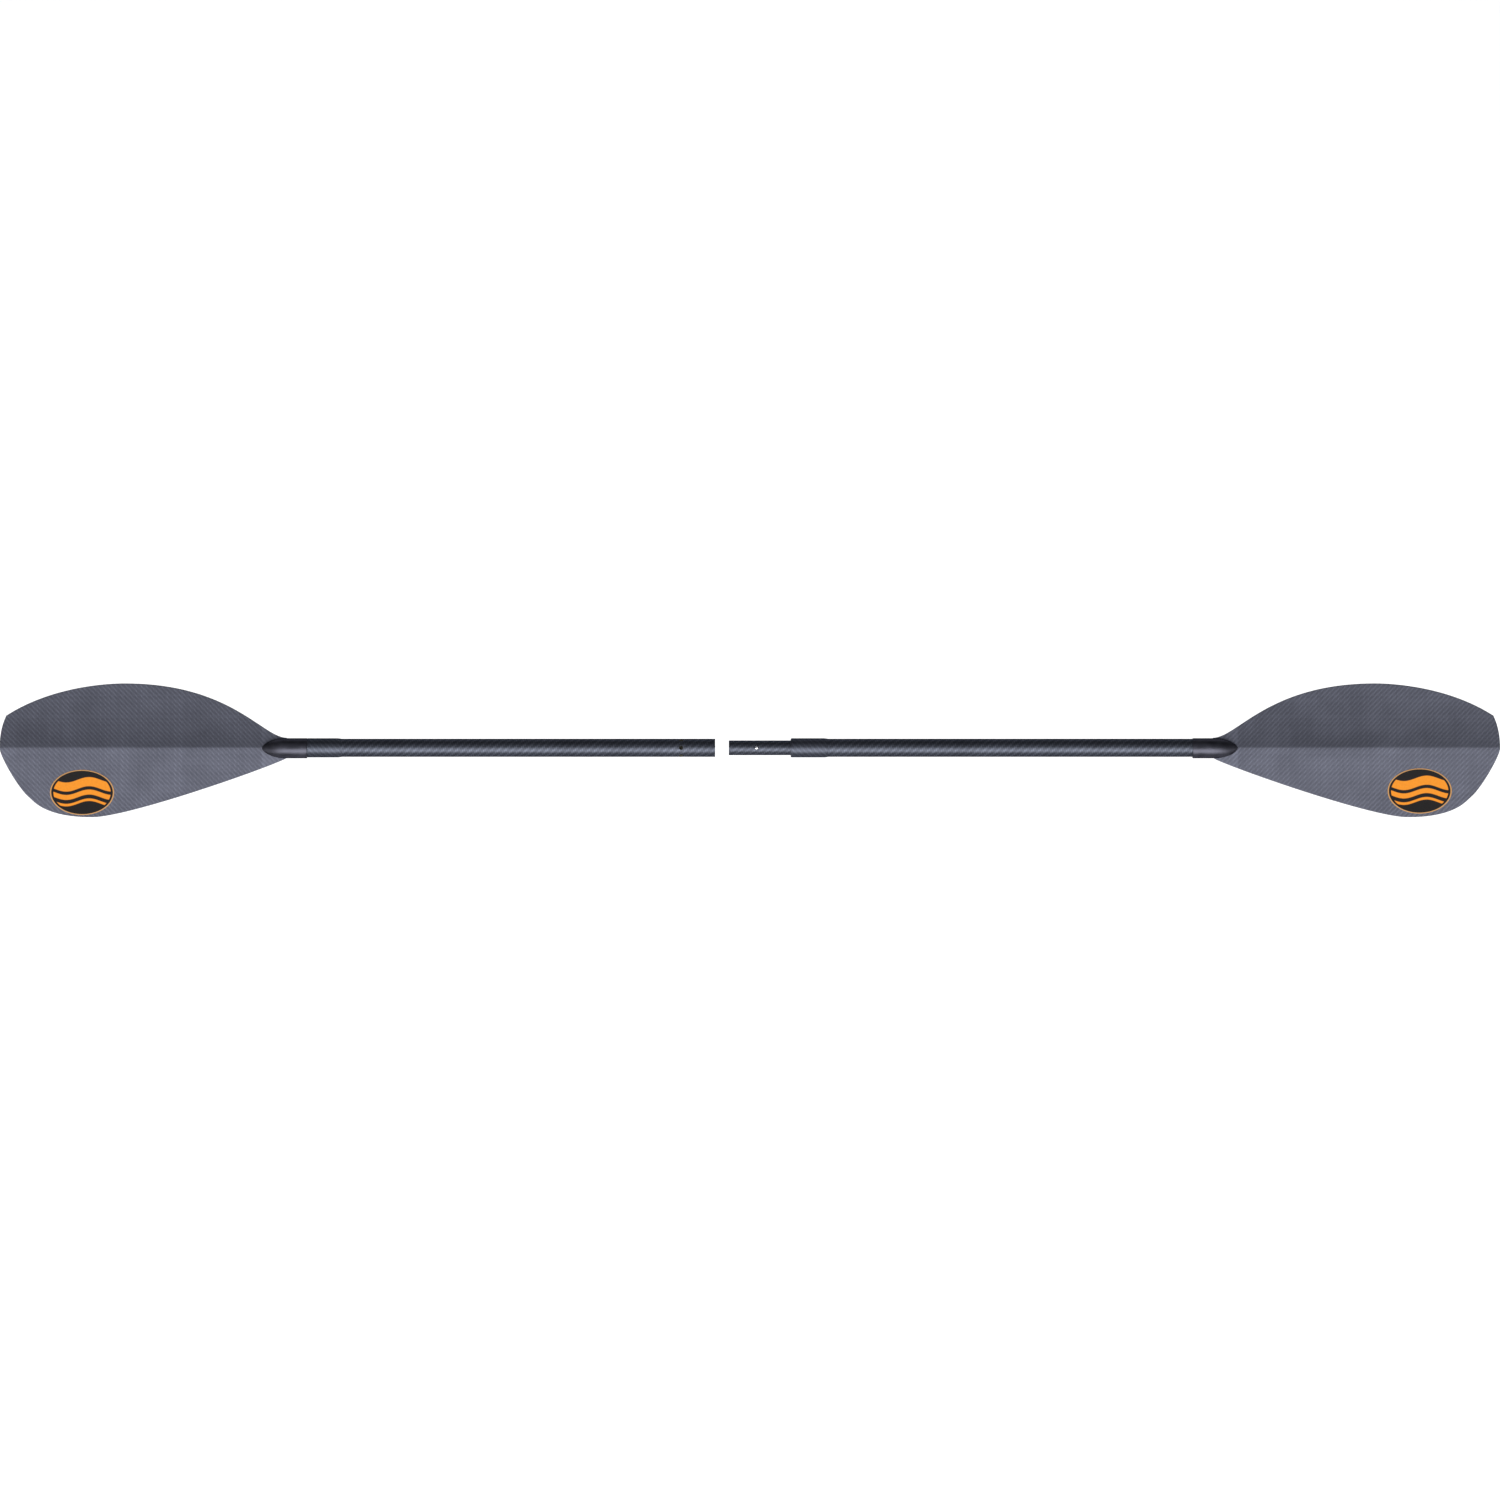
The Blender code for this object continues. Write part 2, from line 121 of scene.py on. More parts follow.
# ---- The neck, and the wraps ----
NECK_R = 0.0163
NECK_SHIFT = 0.0007
NECK_MOUTH_U = 0.496
BORE_END_U = 0.458
NOSE_LENGTH = 0.040
NOSE_POINT = 0.6  # power that shapes the nose seen from above: 0.5 is an ellipse, and more is more pointed
NOSE_STEPS = 40
NECK_EASE = 0.0005
ROOT_PATCH_U = 0.4225  # from here to the shaft the blade has a smoother outer ply, painted lighter as a painted highlight
ROOT_PATCH_BLEND = 0.0012
WRAP_R = 0.0155
WRAP_TAPER = 0.005
LEFT_WRAP_FRONT = 0.0003  # length over which the wrap's front edge rises
SHOULDER_WRAP_FRONT = 0.0018
GAP = 0.0003

# ---- Decals: distance from the blade's tip, distance from the axis, half length and half height ----
DECALS = {"left": (0.1317, -0.0722), "right": (0.1284, -0.0698)}
DECAL_HALF = (0.0515, 0.0365)
DECAL_THICK = 0.0003
DECAL_LIFT = 0.0002

# ---- Weaves ----
BLADE_TOW = 0.00199
SHAFT_TOW = 0.0028
FINE_STREAKS = 5500  # streaks per metre across a tow, and along it
LONG_STREAKS = 220
TOW_RELIEF = 0.035  # height of a tow, as a share of its width

# ---- Badge: each wave's middle and half height, as shares of the badge's half height ----
BADGE_WAVES = ((0.36, 0.20), (-0.10, 0.11), (-0.44, 0.055))
FIELD_END = (0.885, 0.900)  # from the badge's middle outwards, where the waves fade out and the rim starts
RIM_START = (0.955, 0.968)
ORANGE, BLACK, TAN = (0.62, 0.205, 0.012), (0.005, 0.004, 0.004), (0.42, 0.22, 0.08)

# ---- Stage ----
FLOOR_SIZE = 24
FLOOR_DROP = 0.8
SOFTBOX_SIZE = (14.0, 5.2)
SOFTBOX_POWER = 1070
SOFTBOX_DISTANCE = 6.4
SOFTBOX_LEAN = math.radians(34)
SKY_LOW = (0.04, 0.041, 0.044, 1)
SKY_HIGH = (0.50, 0.51, 0.54, 1)
SKY_BEHIND = (0.80, 0.81, 0.83, 1)  # what the camera sees past the floor
SKY_START = 0.45
VIEW_WIDTH = 1500 * 0.0016153  # metres across the picture, at the height of the shaft's axis
VIEW_MIDDLE = (0.00024, -0.00355)
LENS = 200.0
SENSOR = 36.0

ROUND_STEPS = 96
BUTTON_STEPS = 64
SHARP_ANGLE = math.radians(35)


# ---- Meshes ----


def make_piece(name, mesh, body, material, nodes=()):
    """A visible piece that rides on a body, takes its finish from a slot and stands for CAD nodes."""
    piece = bpy.data.objects.new(name, mesh)
    bpy.context.scene.collection.objects.link(piece)
    piece.data.materials.clear()
    piece.data.materials.append(material)
    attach(piece, body)
    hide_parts(*nodes)
    return piece


def grid_mesh(name, points, wrap_rows=False, wrap_columns=False):
    """A mesh from a grid of points. Rows or columns can join up into rings, and seams are welded."""
    rows, columns = points.shape[:2]
    index = np.arange(rows * columns).reshape(rows, columns)
    if wrap_rows:
        index = np.vstack([index, index[:1]])
    if wrap_columns:
        index = np.hstack([index, index[:, :1]])
    quads = np.stack([index[:-1, :-1], index[:-1, 1:], index[1:, 1:], index[1:, :-1]], axis=-1)
    mesh = bpy.data.meshes.new(name)
    mesh.from_pydata(points.reshape(-1, 3).tolist(), [], quads.reshape(-1, 4).tolist())
    return tidy_mesh(mesh)


def tidy_mesh(mesh):
    """Welds a mesh, turns its faces outwards, and shades it smooth but for its sharp edges."""
    edit = bmesh.new()
    edit.from_mesh(mesh)
    bmesh.ops.remove_doubles(edit, verts=edit.verts, dist=1e-6)
    bmesh.ops.dissolve_degenerate(edit, edges=edit.edges, dist=1e-7)
    bmesh.ops.recalc_face_normals(edit, faces=edit.faces)
    edit.to_mesh(mesh)
    edit.free()
    mesh.shade_smooth()
    mesh.set_sharp_from_angle(angle=SHARP_ANGLE)
    return mesh


def turned_mesh(name, profile):
    """Turns (x, radius) points round the shaft's axis. A profile that never meets the axis is closed."""
    profile = np.array(profile)
    angles = np.linspace(0, 2 * math.pi, ROUND_STEPS, endpoint=False)
    x = np.repeat(profile[:, :1], ROUND_STEPS, axis=1)
    y = AXIS_Y + np.outer(profile[:, 1], np.cos(angles))
    z = AXIS_Z + np.outer(profile[:, 1], np.sin(angles))
    hollow = profile[:, 1].min() > 0
    return grid_mesh(name, np.stack([x, y, z], axis=-1), wrap_rows=hollow, wrap_columns=True)


def eased(profile, radius):
    """Rounds each corner of a closed profile by a radius, where its sides are long enough."""
    arc_steps = 4
    points = [Vector(p) for p in profile]
    rounded = []
    for before, corner, after in zip(points[-1:] + points[:-1], points, points[1:] + points[:1]):
        reach = min(radius, (before - corner).length * 0.45, (after - corner).length * 0.45)
        start = corner + (before - corner).normalized() * reach
        end = corner + (after - corner).normalized() * reach
        for k in range(arc_steps + 1):
            t = k / arc_steps
            rounded.append(start * (1 - t) ** 2 + corner * 2 * t * (1 - t) + end * t**2)
    return rounded


def tube_profile(start, end, inner, outer, ease):
    """The cut wall of a tube, with eased edges."""
    return eased([(start, inner), (start, outer), (end, outer), (end, inner)], ease)


def wrap_profile(start, end, front):
    """A thin wrap on the shaft. Its front edge rises over the length given, and it tapers behind."""
    thick = WRAP_R - SHAFT_R
    outline = [(start, SHAFT_R), (start, SHAFT_R + thick * 0.4), (start + front, WRAP_R)]
    outline += [(end - WRAP_TAPER, WRAP_R), (end, SHAFT_R + thick * 0.2), (end, SHAFT_R)]
    return eased(outline, 0.0008)


def cut(mesh, cutters):
    """Takes each cutter's shape out of a mesh, and removes the cutters."""
    body = bpy.data.objects.new("to_cut", mesh)
    bpy.context.scene.collection.objects.link(body)
    for cutter in cutters:
        modifier = body.modifiers.new("hole", "BOOLEAN")
        modifier.object = cutter
    bpy.context.view_layer.update()
    result = bpy.data.meshes.new_from_object(body.evaluated_get(bpy.context.evaluated_depsgraph_get()))
    result.name = mesh.name
    for used in (body, *cutters):
        bpy.data.objects.remove(used)
    return tidy_mesh(result)


def drill(x, angle):
    """A cutter through one wall of a tube at x, at an angle in degrees round the shaft from straight up."""
    edit = bmesh.new()
    depth = SHAFT_R * 0.8
    bmesh.ops.create_cone(edit, cap_ends=True, segments=48, radius1=HOLE_R, radius2=HOLE_R, depth=depth)
    mesh = bpy.data.meshes.new("drill")
    edit.to_mesh(mesh)
    edit.free()
    cutter = bpy.data.objects.new("drill", mesh)
    bpy.context.scene.collection.objects.link(cutter)
    turn = Matrix.Rotation(math.radians(angle), 4, "X")
    out_to_wall = Matrix.Translation((0, 0, SHAFT_R * 0.95))
    cutter.matrix_world = Matrix.Translation((x, AXIS_Y, AXIS_Z)) @ turn @ out_to_wall
    return cutter


# ---- Shader nodes ----


class Shader:
    """A Principled material whose values can be wired to small sums of nodes."""

    def __init__(self, name, **values):
        self.material = bpy.data.materials.new(name)
        self.material.use_nodes = True
        self.nodes = self.material.node_tree.nodes
        self.links = self.material.node_tree.links
        self.principled = self.nodes["Principled BSDF"]
        for socket, value in values.items():
            self.principled.inputs[socket.replace("_", " ")].default_value = value
        self.place = self.nodes.new("ShaderNodeTexCoord").outputs["Object"]

    def put(self, value, socket):
        if isinstance(value, bpy.types.NodeSocket):
            self.links.new(value, socket)
        else:
            socket.default_value = value

    def sum(self, operation, *values):
        node = self.nodes.new("ShaderNodeMath")
        node.operation = operation
        for value, socket in zip(values, node.inputs):
            self.put(value, socket)
        return node.outputs[0]

    def split(self, vector):
        node = self.nodes.new("ShaderNodeSeparateXYZ")
        self.put(vector, node.inputs[0])
        return node.outputs

    def join(self, x, y):
        node = self.nodes.new("ShaderNodeCombineXYZ")
        for value, socket in zip((x, y), node.inputs):
            self.put(value, socket)
        return node.outputs[0]

    def noise(self, vector, scale, detail=2.0):
        node = self.nodes.new("ShaderNodeTexNoise")
        self.put(vector, node.inputs["Vector"])
        node.inputs["Scale"].default_value = scale
        node.inputs["Detail"].default_value = detail
        return node.outputs[0]

    def blotches(self, noise, low, high):
        """A noise's middle range mapped onto a new range."""
        return self.spread(noise, 0.3, 0.7, low, high)

    def product(self, *values):
        total = values[0]
        for value in values[1:]:
            total = self.sum("MULTIPLY", total, value)
        return total

    def random(self, value):
        node = self.nodes.new("ShaderNodeTexWhiteNoise")
        node.noise_dimensions = "1D"
        self.put(value, node.inputs["W"])
        return node.outputs[0]

    def spread(self, value, low, high, new_low, new_high):
        """Maps a value from one range onto another, and holds it within the new one."""
        node = self.nodes.new("ShaderNodeMapRange")
        for entry, socket in zip((value, low, high, new_low, new_high), node.inputs):
            self.put(entry, socket)
        return node.outputs[0]

    def mix(self, share, first, second):
        node = self.nodes.new("ShaderNodeMix")
        node.data_type = "RGBA"
        colours = [socket for socket in node.inputs if socket.type == "RGBA"]
        self.put(share, node.inputs[0])
        for value, socket in zip((first, second), colours):
            if isinstance(value, tuple):
                value = (*value, 1)
            self.put(value, socket)
        return next(socket for socket in node.outputs if socket.type == "RGBA")

    def tint(self, colour, factor):
        """A colour made lighter or darker by a factor."""
        node = self.nodes.new("ShaderNodeVectorMath")
        node.operation = "SCALE"
        self.put(colour, node.inputs[0])
        self.put(factor, node.inputs["Scale"])
        return node.outputs[0]

    def wire(self, socket, value):
        self.put(value, self.principled.inputs[socket])

    def bump(self, height, distance):
        node = self.nodes.new("ShaderNodeBump")
        node.inputs["Strength"].default_value = 1.0
        node.inputs["Distance"].default_value = distance
        self.put(height, node.inputs["Height"])
        self.wire("Normal", node.outputs[0])

    def around_shaft(self):
        """Where a point lies on the shaft rolled out flat: (along it, round it), in metres."""
        x, y, z = self.split(self.place)
        angle = self.sum("ARCTAN2", self.sum("SUBTRACT", y, AXIS_Y), self.sum("SUBTRACT", z, AXIS_Z))
        return x, self.sum("MULTIPLY", angle, SHAFT_R)

    def twill(self, x, y, tow, slant):
        """A 2x2 twill of tows: its height, 1 where the tow along y is on top, and a number for each tow.

        The twill's lines run down to the right for a slant of 1, and up to the right for -1.
        """
        u, v = self.sum("DIVIDE", x, tow), self.sum("DIVIDE", y, tow)
        iu, iv = self.sum("FLOOR", u), self.sum("FLOOR", v)
        fu, fv = self.sum("SUBTRACT", u, iu), self.sum("SUBTRACT", v, iv)
        order = self.sum("FLOORED_MODULO", self.sum("ADD", iu, self.sum("MULTIPLY", iv, slant)), 4)
        on_top = self.sum("LESS_THAN", order, 1.5)

        def pick(first, second):
            return self.spread(on_top, 0, 1, second, first)

        across = pick(fu, fv)
        run = fv if slant > 0 else self.sum("SUBTRACT", 1, fv)
        along = self.sum("DIVIDE", pick(self.sum("ADD", order, run), self.sum("ADD", order, fu)), 2)
        along = self.sum("FRACT", along)
        crown = self.sum("POWER", self.sum("SINE", self.sum("MULTIPLY", across, math.pi)), 0.6)
        arch = self.sum("POWER", self.sum("SINE", self.sum("MULTIPLY", along, math.pi)), 0.5)
        height = self.sum("MULTIPLY", crown, self.sum("MULTIPLY_ADD", arch, 0.5, 0.5))
        number = pick(iu, self.sum("ADD", iv, 1000))  # tows along x get numbers of their own
        return height, on_top, self.random(number)


# ---- Materials ----


def carbon(name, colour, tow, slant, flat, painted_warp_sheen, **values):
    """Woven carbon under clear resin, flat or rolled round the shaft. Tows along y are painted brighter, a
    painted sheen.
    """
    shader = Shader(name, **values)
    if flat:
        x, y, _ = shader.split(shader.place)
    else:
        x, y = shader.around_shaft()
    height, on_top, random = shader.twill(x, y, tow, slant)
    if flat:
        end = TIP_X - ROOT_PATCH_U
        far = shader.sum("ABSOLUTE", x)
        patch = shader.spread(far, end - ROOT_PATCH_BLEND, end + ROOT_PATCH_BLEND, 1, 0)
        flatter = shader.sum("SUBTRACT", 0.9, height)
        height = shader.sum("MULTIPLY_ADD", flatter, shader.sum("MULTIPLY", patch, 0.6), height)
    fine_x, fine_y = shader.sum("MULTIPLY", x, FINE_STREAKS), shader.sum("MULTIPLY", y, FINE_STREAKS)
    long_x, long_y = shader.sum("MULTIPLY", x, LONG_STREAKS), shader.sum("MULTIPLY", y, LONG_STREAKS)
    along_y = shader.noise(shader.join(fine_x, long_y), 1.0)
    along_x = shader.noise(shader.join(long_x, fine_y), 1.0)
    fibre = shader.spread(on_top, 0, 1, along_x, along_y)
    patches = shader.noise(shader.place, 22.0, detail=3.0)
    light = shader.product(
        # painted sheen: tows along y brighter than tows along x
        shader.spread(on_top, 0, 1, 1 - painted_warp_sheen, 1 + painted_warp_sheen),
        shader.spread(random, 0, 1, 0.93, 1.07),
        shader.blotches(fibre, 0.90, 1.10),
        shader.blotches(patches, 0.90, 1.10),
        # painted shade and highlight: each tow darker in its hollows, lighter on its crown
        shader.spread(height, 0, 1, 0.62, 1.10),
    )
    # painted highlight: the blade lighter from ROOT_PATCH_U to the shaft
    if flat:
        light = shader.product(light, shader.spread(patch, 0, 1, 1, 1.12))
    shader.wire("Base Color", shader.tint(colour, light))
    base_roughness = values["Roughness"]
    shader.wire("Roughness", shader.blotches(fibre, base_roughness - 0.05, base_roughness + 0.05))
    shader.bump(shader.sum("MULTIPLY_ADD", fibre, 0.08, height), tow * TOW_RELIEF)
    return shader.material


def resin():
    shader = Shader("neck_resin", Metallic=1.0, Specular_Tint=DARK_RIM)
    x, y = shader.around_shaft()
    mottle = shader.noise(shader.place, 60.0, detail=5.0)
    fine = shader.noise(shader.join(shader.sum("MULTIPLY", x, 900), shader.sum("MULTIPLY", y, 2600)), 1.0)
    light = shader.product(shader.blotches(mottle, 0.8, 1.2), shader.blotches(fine, 0.9, 1.1))
    shader.wire("Base Color", shader.tint((0.063, 0.063, 0.079), light))
    shader.wire("Roughness", shader.blotches(mottle, 0.36, 0.48))
    shader.bump(shader.sum("MULTIPLY_ADD", fine, 0.3, mottle), 0.0002)
    return shader.material


def glass_liner():
    shader = Shader("glass_liner", Roughness=0.4, Coat_Weight=0.2, Coat_Roughness=0.25)
    x, y = shader.around_shaft()
    height, _, random = shader.twill(x, y, 0.0016, 1)
    # painted shade and highlight: the weave darker in the hollows between tows, lighter on their crowns
    light = shader.product(shader.spread(height, 0, 1, 0.75, 1.1), shader.spread(random, 0, 1, 0.9, 1.1))
    shader.wire("Base Color", shader.tint((0.16, 0.15, 0.105), light))
    shader.bump(height, 0.00004)
    return shader.material


def foam():
    shader = Shader("closed_cell_foam", Roughness=0.92)
    cells = shader.nodes.new("ShaderNodeTexVoronoi")
    shader.put(shader.place, cells.inputs["Vector"])
    cells.inputs["Scale"].default_value = 900.0
    distance = cells.outputs["Distance"]
    blotch = shader.noise(shader.place, 80.0, detail=3.0)
    # painted shade: each foam cell darker in its hollow
    light = shader.product(shader.spread(distance, 0, 0.7, 0.8, 1.1), shader.blotches(blotch, 0.9, 1.1))
    shader.wire("Base Color", shader.tint((0.50, 0.45, 0.34), light))
    shader.bump(distance, 0.0002)
    return shader.material


def rubber():
    shader = Shader("plug_rubber")
    grain = shader.noise(shader.place, 1500.0, detail=4.0)
    dust = shader.noise(shader.place, 120.0, detail=3.0)
    light = shader.product(shader.blotches(grain, 0.8, 1.2), shader.spread(dust, 0.4, 0.8, 0.9, 1.6))
    shader.wire("Base Color", shader.tint((0.020, 0.020, 0.021), light))
    shader.wire("Roughness", shader.blotches(dust, 0.65, 0.85))
    shader.bump(grain, 0.0001)
    return shader.material


def steel():
    shader = Shader("button_steel", Metallic=1.0)
    fine = shader.noise(shader.place, 2500.0, detail=4.0)
    wear = shader.noise(shader.place, 260.0, detail=3.0)
    shader.wire("Base Color", shader.tint((0.68, 0.69, 0.72), shader.blotches(wear, 0.88, 1.05)))
    shader.wire("Roughness", shader.blotches(fine, 0.12, 0.26))
    shader.bump(fine, 0.00001)
    return shader.material


def decal_vinyl(name, centre_x, centre_y):
    """A plain oval badge: a thin rim round a dark field, which three orange waves cross."""
    shader = Shader(name, Specular_IOR_Level=0.10)
    x, y, _ = shader.split(shader.place)
    a = shader.sum("DIVIDE", shader.sum("SUBTRACT", x, centre_x), DECAL_HALF[0])
    b = shader.sum("DIVIDE", shader.sum("SUBTRACT", y, centre_y), DECAL_HALF[1])
    reach = shader.sum("SQRT", shader.sum("ADD", shader.sum("POWER", a, 2), shader.sum("POWER", b, 2)))
    swell = shader.sum("MULTIPLY", shader.sum("SINE", shader.sum("MULTIPLY_ADD", a, 4.4, 0.6)), 0.12)
    level = shader.sum("SUBTRACT", b, swell)
    waves = 0.0
    for middle, half in BADGE_WAVES:
        off = shader.sum("ABSOLUTE", shader.sum("SUBTRACT", level, middle))
        band = shader.spread(off, half - 0.012, half + 0.012, 1, 0)
        waves = shader.sum("MAXIMUM", waves, band)
    field = shader.spread(reach, *FIELD_END, 1, 0)
    waves = shader.sum("MULTIPLY", waves, field)
    rim = shader.spread(reach, *RIM_START, 0, 1)
    colour = shader.mix(rim, shader.mix(waves, BLACK, ORANGE), TAN)
    scuff = shader.noise(shader.place, 300.0, detail=4.0)
    shader.wire("Base Color", shader.tint(colour, shader.blotches(scuff, 0.95, 1.05)))
    shader.wire("Roughness", shader.blotches(scuff, 0.40, 0.50))
    shader.bump(scuff, 0.00003)
    return shader.material


def floor_paint():
    shader = Shader("pale_floor", Roughness=0.9, Specular_IOR_Level=0.2)
    cloud = shader.noise(shader.place, 2.0, detail=2.0)
    shader.wire("Base Color", shader.tint((0.90, 0.90, 0.90), shader.blotches(cloud, 0.995, 1.005)))
    return shader.material


BLADE_CARBON = {"Roughness": 0.62, "Metallic": 1.0}
DARK_RIM = (0.15, 0.15, 0.16, 1)  # keeps a round dark metal dark where it is seen edge on
SHAFT_CARBON = {"Roughness": 0.48, "Metallic": 1.0, "Specular_Tint": DARK_RIM}
BLADE_COLOUR = (0.100, 0.104, 0.131)
SHAFT_COLOUR = (0.071, 0.077, 0.097)
MATERIALS = {
    "left_blade": carbon("blade_carbon_left", BLADE_COLOUR, BLADE_TOW, 1, True, 0.12, **BLADE_CARBON),
    "right_blade": carbon("blade_carbon_right", BLADE_COLOUR, BLADE_TOW, -1, True, 0.12, **BLADE_CARBON),
    "shaft": carbon("shaft_carbon", SHAFT_COLOUR, SHAFT_TOW, -1, False, 0.2, **SHAFT_CARBON),
    "wrap": carbon("wrap_carbon", SHAFT_COLOUR, SHAFT_TOW * 0.8, 1, False, 0.15, **SHAFT_CARBON),
    "neck": resin(),
    "liner": glass_liner(),
    "foam": foam(),
    "rubber": rubber(),
    "steel": steel(),
}


# ---- The blade ----


def bezier(start, leave, arrive, end, t):
    """Points at t along one Bezier segment, whose handles are offsets from its ends."""
    start, end = np.array(start), np.array(end)
    t = t[:, None]
    s = 1 - t
    return start * s**3 + (start + leave) * 3 * s * s * t + (end + arrive) * 3 * s * t * t + end * t**3


def long_edges(t):
    """The upper and lower long edges, for t from 0 at the root to 2 at the corners by the tip."""
    first, second = t[t <= 1], t[t > 1] - 1

    def edge(root, widest, corner, handles):
        to_widest = bezier(root, *handles[0], widest, first)
        return np.vstack([to_widest, bezier(widest, *handles[1], corner, second)])

    upper = edge((ROOT_U, NECK_R), UPPER_MAX, UPPER_CORNER, UPPER_HANDLES)
    lower = edge((ROOT_U, -NECK_R), LOWER_MAX, LOWER_CORNER, LOWER_HANDLES)
    return upper, lower


def blade_plan():
    """Rows of points from the lower to the upper edge: u, v, share towards the edge and towards the tip."""
    close = np.array([0, 0.0015, 0.004, 0.008, 0.014, 0.024, 0.040, 0.062, 0.09])
    shares = 1 - np.concatenate([close, np.linspace(0.12, 0.94, 30), [0.96, 0.975, 0.988, 1]])[::-1]
    t = 2 - np.concatenate([close * 0.6, np.linspace(0.07, 2, 96)])[::-1]
    along = (t / 2)[:, None]
    upper, lower = long_edges(t)
    tip_lead = (UPPER_CORNER[0] + LOWER_CORNER[0]) / 2
    ridge_u = (upper[:, :1] + lower[:, :1]) / 2 - tip_lead * along**2
    ridge = np.hstack([ridge_u, np.zeros_like(ridge_u)])
    upper_tip = bezier((0, 0), *UPPER_TIP_HANDLES, UPPER_CORNER, shares)
    lower_tip = bezier((0, 0), *LOWER_TIP_HANDLES, LOWER_CORNER, shares)

    def half(edge, tip_edge, corner):
        share = shares[None, :, None]
        straight = ridge[:, None, :] * (1 - share) + edge[:, None, :] * share
        bulge = tip_edge - np.outer(shares, corner)
        return straight + bulge[None, :, :] * along[:, :, None] ** 6

    above = half(upper, upper_tip, UPPER_CORNER)
    below = half(lower, lower_tip, LOWER_CORNER)
    plan = np.concatenate([below[:, :0:-1], above], axis=1)
    share = np.concatenate([shares[:0:-1], shares])
    share = np.repeat(share[None, :], len(t), axis=0)
    return plan[..., 0], plan[..., 1], share, np.repeat(along, share.shape[1], axis=1)


def distance_to_outline(u, v):
    """How far each point of the plan is from the blade's outline, leaving out its root."""
    outline = np.concatenate(
        [
            np.stack([u[:, 0], v[:, 0]], axis=-1),
            np.stack([u[-1, 1:], v[-1, 1:]], axis=-1),
            np.stack([u[-2::-1, -1], v[-2::-1, -1]], axis=-1),
        ]
    )
    start, run = outline[:-1], np.diff(outline, axis=0)
    length = np.maximum((run**2).sum(axis=1), 1e-18)
    nearest = np.full(u.size, np.inf)
    for k, point in enumerate(np.stack([u.ravel(), v.ravel()], axis=-1)):
        share = np.clip(((point - start) * run).sum(axis=1) / length, 0, 1)
        gap = start + run * share[:, None] - point
        nearest[k] = math.sqrt((gap**2).sum(axis=1).min())
    return nearest.reshape(u.shape)


def face_height(u, v):
    """Height of the power face over the shaft's axis."""
    along = 1 - u / ROOT_U
    spoon = FACE_ROOT + (FACE_TIP - FACE_ROOT) * along - SPOON * 4 * along * (1 - along)
    reach = np.sqrt(v**2 + RIDGE_ROUND**2) - RIDGE_ROUND
    falls = [drop * (1 - np.exp(-reach / run)) for drop, run in (UPPER_DROP, LOWER_DROP)]
    return spoon - np.where(v > 0, *falls)


def in_world(side, u, v, z):
    """Points of the left (-1) or right (1) blade in the shared frame."""
    return np.stack([side * (TIP_X - u), AXIS_Y + v, AXIS_Z + z], axis=-1)


def blade_mesh(name, side, plan, rim_distance):
    """The whole blade: its face and back, round-edged, joined along the outline."""
    u, v, share, along = plan
    rim = EDGE / 2
    full = np.sqrt(1 - (1 - np.clip(rim_distance / rim, 0, 1)) ** 2)
    face = face_height(u, v)
    middle = face - rim
    toward_tip = 1 - u / ROOT_U
    body = BODY_ROOT + (BODY_TIP - BODY_ROOT) * toward_tip
    spine = SPINE * np.clip(1 - toward_tip, 0, 1) ** 2.5 * np.exp(-((v / SPINE_WIDTH) ** 2))
    depth = (1 - share**4) * (1 - along**6) * (body + spine)
    top = in_world(side, u, v, middle + rim * full)
    bottom = in_world(side, u, v, middle - rim * full - depth)
    return grid_mesh(name, np.concatenate([top, bottom[:, ::-1]], axis=1), wrap_columns=True)


def neck_mesh(name, side):
    """The sleeve that holds the shaft's end, with a nose that dies into the blade."""
    bore = SHAFT_R + GAP
    rings = [(BORE_END_U, 0, 0, 0), (BORE_END_U, 0, bore, bore), (NECK_MOUTH_U, 0, bore, bore)]
    for k in range(5):
        angle = math.pi / 2 * k / 4
        radius = NECK_R - NECK_EASE + NECK_EASE * math.sin(angle)
        mouth = NECK_MOUTH_U - NECK_EASE + NECK_EASE * math.cos(angle)
        rings.append((mouth, -NECK_SHIFT, radius, radius))
    for k in range(NOSE_STEPS + 1):
        share = math.sin(math.pi / 2 * k / NOSE_STEPS)
        half_width = NECK_R * (1 - share**2) ** NOSE_POINT
        rings.append((ROOT_U - NOSE_LENGTH * share, -NECK_SHIFT, half_width, NECK_R * (1 - share**1.5)))
    rings = np.array(rings)
    angles = np.linspace(0, 2 * math.pi, ROUND_STEPS, endpoint=False)
    u = np.repeat(rings[:, :1], ROUND_STEPS, axis=1)
    v = rings[:, 1:2] + np.outer(rings[:, 2], np.cos(angles))
    z = np.outer(rings[:, 3], np.sin(angles))
    return grid_mesh(name, in_world(side, u, v, z), wrap_columns=True)


def decal_mesh(name, side, centre):
    """An oval sticker that lies on the power face."""
    rings = np.array([0, 0.15, 0.3, 0.45, 0.6, 0.75, 0.88, 0.96, 0.992, 1, 1, 1])
    lift = DECAL_LIFT + DECAL_THICK * np.array([1, 1, 1, 1, 1, 1, 1, 1, 1, 0.6, 0, -0.6])
    angles = np.linspace(0, 2 * math.pi, ROUND_STEPS, endpoint=False)
    u = centre[0] + DECAL_HALF[0] * np.outer(rings, np.cos(angles))
    v = centre[1] + DECAL_HALF[1] * np.outer(rings, np.sin(angles))
    z = face_height(u, v) + np.repeat(lift[:, None], ROUND_STEPS, axis=1)
    points = in_world(side, u, v, z)
    under = points[8::-1].copy()
    under[..., 2] -= DECAL_THICK * 2
    return grid_mesh(name, np.concatenate([points, under]), wrap_columns=True)


